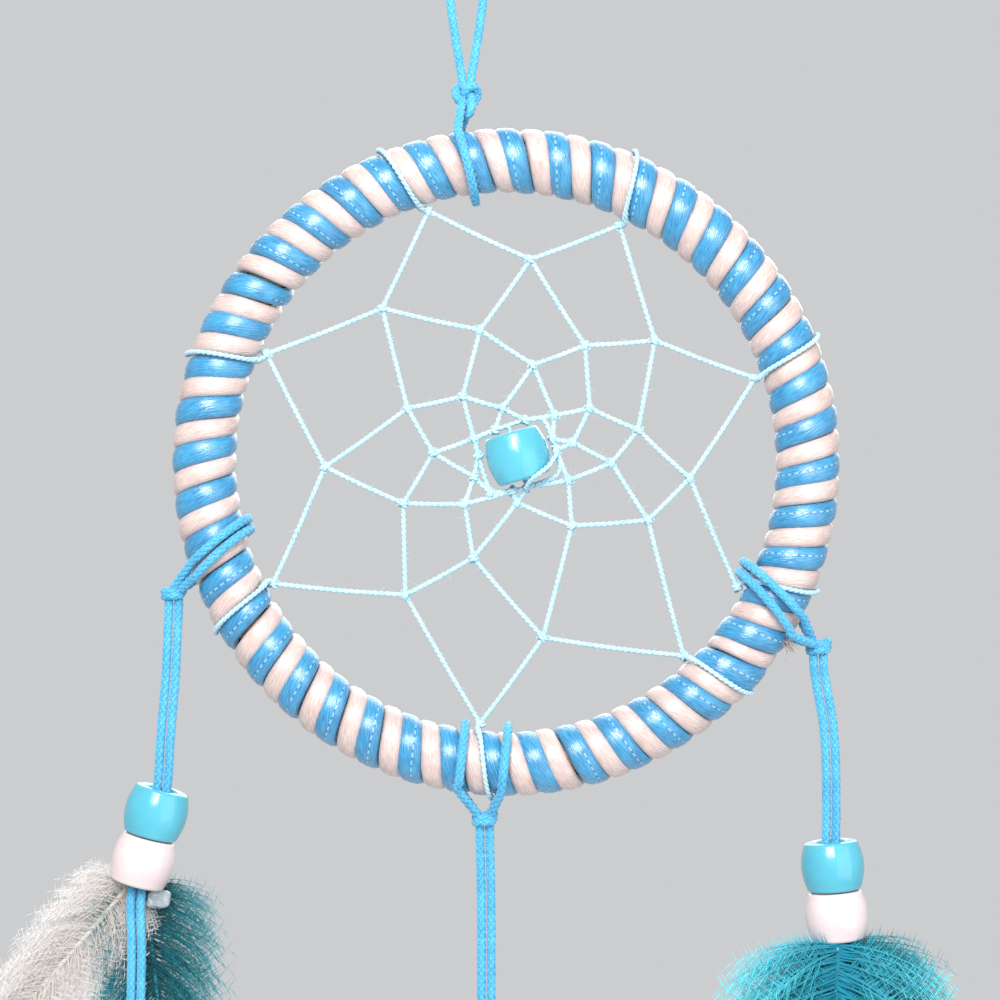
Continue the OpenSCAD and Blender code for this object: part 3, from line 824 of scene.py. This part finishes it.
# Each drop's hitch strands (outer and inner angles from the lump), how far the hitch is lifted off the
# wrapping, the cord's route down from under the lump, and its feathers: kind, offset to the right and
# to the back, lean in degrees, length, half width, look, fluffy, bow
DROPS = {
    "left": dict(
        strands=((-2.5, -9.1), (-0.2, -6.8)), lift=0.0,
        route=((0, 0, 0), (-0.2, 0, -4), (-0.4, 0, -9), (-0.8, 0, -14), (-1.2, 0, -19), (-1.4, 0, -22.5),
               (-1.8, 0, -26), (-4.3, 0, -35.4), (-5.1, -0.2, -39), (-5.3, -1.1, -42.5), (-5.1, -1.5, -48),
               (-5.2, -1.4, -54), (-5.3, -1.2, -60)),
        feathers=(("white", -0.8, 1.3, 40, 50, 10.5, "white_barbs", True, 2.0),
                  ("teal", 0.8, 3.0, -5, 54, 14.0, "teal_barbs", True, -1.5))),
    "right": dict(
        strands=((2, 7.9), (-1.6, 5.4)), lift=0.85,
        route=((0, 0, 0), (0.5, 0, -3.5), (1.3, 0, -8), (1.7, 0, -13), (1.8, 0, -18), (1.8, 0, -22),
               (1.8, 0, -26), (2.5, 0, -34), (2.8, 0.2, -38.4), (3, 1.1, -42), (3, 1.5, -47)),
        feathers=(("turquoise", -0.4, -2.6, 2, 50, 24.0, "sky_barbs", True, 1.5),
                  ("teal", 0.8, -1.2, -12, 54, 17.0, "teal_barbs", True, -1.5))),
    "bottom": dict(
        strands=((-4.8, -5.4), (2.3, 3.8)), lift=0.0,
        route=((0, 0, 0), (0.1, 0, -4), (0.2, 0, -11), (0.2, 0, -18), (0.2, 0, -25), (0.2, 0, -32),
               (0.2, 0, -37), (0.3, 0, -41.5), (0.3, 0, -48.6), (0.3, -0.3, -52.5), (0.3, -1.2, -56),
               (0.4, -1.5, -62)),
        feathers=(("white", -0.8, 1.2, 16, 50, 9.0, "white_barbs", False, -1.5),
                  ("turquoise", 0.8, 2.6, -10, 54, 14.0, "sky_barbs", True, 1.5))),
}


def hitch(drop):
    """Two strands round the tube, and the lump where they are drawn tight."""
    spec = DROPS[drop]
    lump = pivot(drop + "_sway")
    at = math.degrees(math.atan2(*(lump - HOOP)[[2, 0]])) % 360
    grids = []
    for k, (outer, inner) in enumerate(spec["strands"]):
        grids += strand(lump, at + outer, at + inner, spec["lift"], vec(0.5 * (2 * k - 1), -0.35, 0))
    strands = mesh_of(f"{drop}_hitch_look", grids, LOOKS["cord"])
    keep(strands, f"{drop}_hitch", "hoop")
    a = np.radians(np.arange(-40, 700, 12))
    down = 0.55 - a / 10.5 + 0.2 * np.cos(a + 0.5)
    coil = lump + np.stack([1.3 * np.cos(a), 1.1 * np.sin(a), down], axis=1)
    bight = mesh_of(f"{drop}_bight_look", braid(coil, 0.93 * CORD_D, pitch=3.6), LOOKS["cord"])
    keep(bight, f"{drop}_bight", f"{drop}_tie")


def drop_cord(drop):
    """The doubled cord through the beads: two braided strands side by side in one mesh."""
    lump = pivot(drop + "_sway")
    top = lump - vec(0, 0, CORD_D * 1.5 + 0.4)
    route = smooth([lump - top + vec(0, 0, 0.6)] + [vec(*q) for q in DROPS[drop]["route"]], 6)
    t = unit(np.gradient(route, axis=0))
    square = unit(np.stack([-t[:, 2], 0 * t[:, 2], t[:, 0]], axis=1))
    grids = []
    for hand in (-1, 1):
        grids += braid(top + route + hand * CORD_D / 2 * square, CORD_D)
    cord = mesh_of(f"{drop}_cord_look", grids, LOOKS["cord"])
    keep(cord, f"{drop}_cord", f"{drop}_drop")
    knot = braid(middle(f"{drop}_end_knot") + knot_line(0.64, 0.85), CORD_D, closed=True)
    knot = mesh_of(f"{drop}_end_knot_look", knot, LOOKS["cord"])
    keep(knot, f"{drop}_end_knot", f"{drop}_drop")


def glue(drop):
    """A clear lump squeezed out under the lower bead, round the quills and beside the cord."""
    centre = middle(f"{drop}_glue")
    rng = np.random.default_rng(len(drop))
    m, n = 24, 14
    phase = rng.random(3) * 6
    grid = np.zeros((n, m, 3))
    for i in range(n):
        th = math.pi * (i + 0.5) / n
        for k in range(m):
            ph = 2 * math.pi * k / m
            lumps = 0.12 * math.sin(3 * ph + phase[0] + 2 * th) + 0.1 * math.sin(5 * th + phase[1])
            x, y = 1.25 * math.sin(th) * math.cos(ph), math.sin(th) * math.sin(ph)
            grid[i, k] = centre + 1.35 * (1 + lumps) * vec(x, y, math.cos(th))
    lump = mesh_of(f"{drop}_glue_look", [(grid, False)], LOOKS["glue"])
    keep(lump, f"{drop}_glue", f"{drop}_drop")


def half_width(f, widest, fluffy):
    """Half the feather's width at f of its length, widest a little above the middle."""
    crown = math.sin(math.pi * min(1, f ** (math.log(0.5) / math.log(0.42))))
    if fluffy:
        return widest * (0.62 + 0.42 * crown**0.6) * (1 - 0.35 * f**3)
    return widest * (0.12 + 0.88 * crown**0.75)


def drop_feathers(drop):
    blue, white = middle(f"{drop}_blue_bead"), middle(f"{drop}_white_bead")
    down = unit(white - blue)
    for k, plan in enumerate(DROPS[drop]["feathers"]):
        kind, side, back, lean, length, widest, look, fluffy, bow = plan
        root = white + down * 3.2 + vec(side, back, 0)
        name = f"{drop}_{kind}_feather"
        obj = feather(name + "_look", root, lean, length * 0.97,
                      lambda f: half_width(f, widest, fluffy), look, 11 * k + len(drop), fluffy, bow)
        keep(obj, name, f"{drop}_drop")


# ---- Camera, light and stage ---------------------------------------------------------------


VIEW_W = 142.9  # width of the view at the hoop


def stage(settings):
    cam = bpy.data.cameras.new("camera")
    cam.lens, cam.sensor_width = settings.lens, 36.0
    obj = bpy.data.objects.new("camera", cam)
    bpy.context.scene.collection.objects.link(obj)
    back = VIEW_W * settings.lens / cam.sensor_width
    obj.location = (HOOP + vec(-0.86, -back, -5.4)) * MM
    obj.rotation_euler = (math.pi / 2, 0, 0)
    bpy.context.scene.camera = obj
    for name, place, size, power, tint in (
        ("key", (-60, -430, 230), 0.26, settings.key, (1.0, 0.98, 0.96)),
        ("fill", (380, -380, -40), 0.5, settings.key * 0.3, (0.95, 0.98, 1.0)),
        ("back", (60, 420, 260), 0.5, settings.key * 0.5, (1.0, 1.0, 1.0)),
    ):
        lamp = bpy.data.lights.new(name, "AREA")
        lamp.energy, lamp.size, lamp.color = power, size, tint
        light = bpy.data.objects.new(name, lamp)
        bpy.context.scene.collection.objects.link(light)
        light.location = (HOOP + vec(*place)) * MM
        aim = (HOOP * MM) - np.array(light.location)
        light.rotation_euler = Matrix(np.stack(look_axes(-unit(aim)), axis=1).tolist()).to_euler()
    world = bpy.data.worlds.new("studio")
    world.use_nodes = True
    tree = world.node_tree
    tree.nodes["Background"].inputs[0].default_value = SURROUND
    tree.nodes["Background"].inputs[1].default_value = settings.world
    bpy.context.scene.world = world
    bpy.context.scene.view_settings.view_transform = "Standard"
    floor = mesh_of("floor", [(disc(HOOP + vec(0, 0, -700), 1900), False)], floor_look())


def look_axes(z):
    x = unit(np.cross(vec(0, 0, 1), z))
    return x, np.cross(z, x), z


def disc(centre, radius):
    a = np.linspace(0, 2 * np.pi, 64, endpoint=False)
    ring = centre + radius * np.stack([np.cos(a), np.sin(a), 0 * a], axis=1)
    return np.stack([ring - vec(0, 0, 4), ring])


def floor_look():
    m = Shader("pale_floor", Roughness=0.9, Emission_Color=SURROUND, Emission_Strength=0.11)
    m.set("Base Color", m.mix(m.noise(3.0), rgb(246, 247, 248), rgb(252, 252, 252)))
    return m.material


# ---- The add-on ----------------------------------------------------------------------------


class DreamCatcherSettings(bpy.types.PropertyGroup):
    turns: IntProperty(
        name="Turns", description="Turns of each satin cord", default=TURNS, min=20, max=70)
    blue_share: FloatProperty(
        name="Blue Share", description="Share of each pair of turns that is blue",
        default=0.53, subtype="FACTOR", min=0.3, max=0.7)
    lens: FloatProperty(
        name="Lens", description="Camera's focal length in millimetres", default=100.0)
    key: FloatProperty(
        name="Key Light", description="Power of the main light in watts", default=3.7)
    world: FloatProperty(
        name="Surround", description="Brightness of the surround", default=0.7)
    feathers: BoolProperty(
        name="Feathers", description="Make the feathers", default=True)


class Make:
    bl_options = {"REGISTER", "UNDO"}

    def execute(self, context):
        self.make(context.scene.dream_catcher)
        return {"FINISHED"}


class DREAM_OT_stage(Make, bpy.types.Operator):
    """Adds the camera, the lights, the surround and the floor"""
    bl_idname = "dream.stage"
    bl_label = "Stage"

    def make(self, settings):
        stage(settings)


class DREAM_OT_looks(Make, bpy.types.Operator):
    """Makes the materials and the small shapes that are scattered"""
    bl_idname = "dream.looks"
    bl_label = "Materials"

    def make(self, settings):
        make_looks()
        barb("soft_barb", 0.34, 16, 0.17, 0.0075, 1)
        barb("plain_barb", 0.2, 12, 0.07, 0.011, 2)
        x = np.linspace(0, 1, 4)
        line = np.stack([x, 0.3 * x**2, 0 * x], axis=1)
        mesh_of("fuzz_fibre", [hair(line, 0.03 * (1.1 - x))], LOOKS["thread"])
        for name in ("soft_barb", "plain_barb", "fuzz_fibre"):
            bpy.context.scene.collection.objects.unlink(bpy.data.objects[name])


class DREAM_OT_hanging(Make, bpy.types.Operator):
    """Makes the hanging loop, its knot and the eye round the hoop"""
    bl_idname = "dream.hanging"
    bl_label = "Hanging Cord"

    def make(self, settings):
        hanging()


class DREAM_OT_hoop(Make, bpy.types.Operator):
    """Makes the ring and the two satin cords wound round it"""
    bl_idname = "dream.hoop"
    bl_label = "Hoop"

    def make(self, settings):
        turns, share = settings.turns, settings.blue_share
        wrap("wrap_blue", 0, share, "blue", turns)
        wrap("wrap_white", 180 / turns, 1 - share, "white", turns)
        a = np.linspace(0, 2 * np.pi, 128, endpoint=False)
        ring = HOOP + HOOP_R * np.stack([np.cos(a), 0 * a, np.sin(a)], axis=1)
        core = mesh_of("core_ring_look", [round_tube(ring, CORE_D / 2, 24, True)], LOOKS["cane"])
        keep(core, "core_ring", "hoop")


class DREAM_OT_web(Make, bpy.types.Operator):
    """Makes the knotted thread web and the bead at its centre"""
    bl_idname = "dream.web"
    bl_label = "Web"

    def make(self, settings):
        web()
        bead("centre_bead", "bead", "turquoise")


class DREAM_OT_drops(Make, bpy.types.Operator):
    """Makes the three drops: hitches, cords, beads, glue and feathers"""
    bl_idname = "dream.drops"
    bl_label = "Drops"

    def make(self, settings):
        for drop in DROPS:
            hitch(drop)
            drop_cord(drop)
            bead(f"{drop}_blue_bead", f"{drop}_drop", "turquoise")
            bead(f"{drop}_white_bead", f"{drop}_drop", "pearl")
            glue(drop)
            if settings.feathers:
                drop_feathers(drop)


class DREAM_PT_panel(bpy.types.Panel):
    """The add-on's panel in the sidebar"""
    bl_idname = "DREAM_PT_panel"
    bl_label = "Dream Catcher"
    bl_space_type = "VIEW_3D"
    bl_region_type = "UI"
    bl_category = "Dream Catcher"

    def draw(self, context):
        for key in ("turns", "blue_share", "lens", "key", "world", "feathers"):
            self.layout.prop(context.scene.dream_catcher, key)
        for name in STEPS:
            self.layout.operator(f"dream.{name}")


STEPS = ("looks", "stage", "hanging", "drops", "hoop", "web")
CLASSES = (DreamCatcherSettings, DREAM_OT_stage, DREAM_OT_looks, DREAM_OT_hanging, DREAM_OT_hoop,
           DREAM_OT_web, DREAM_OT_drops, DREAM_PT_panel)


def register():
    for cls in CLASSES:
        bpy.utils.register_class(cls)
    bpy.types.Scene.dream_catcher = PointerProperty(type=DreamCatcherSettings)


def unregister():
    del bpy.types.Scene.dream_catcher
    for cls in reversed(CLASSES):
        bpy.utils.unregister_class(cls)


def main():
    register()
    for name in STEPS:
        getattr(bpy.ops.dream, name)()


if __name__ == "__main__":
    main()
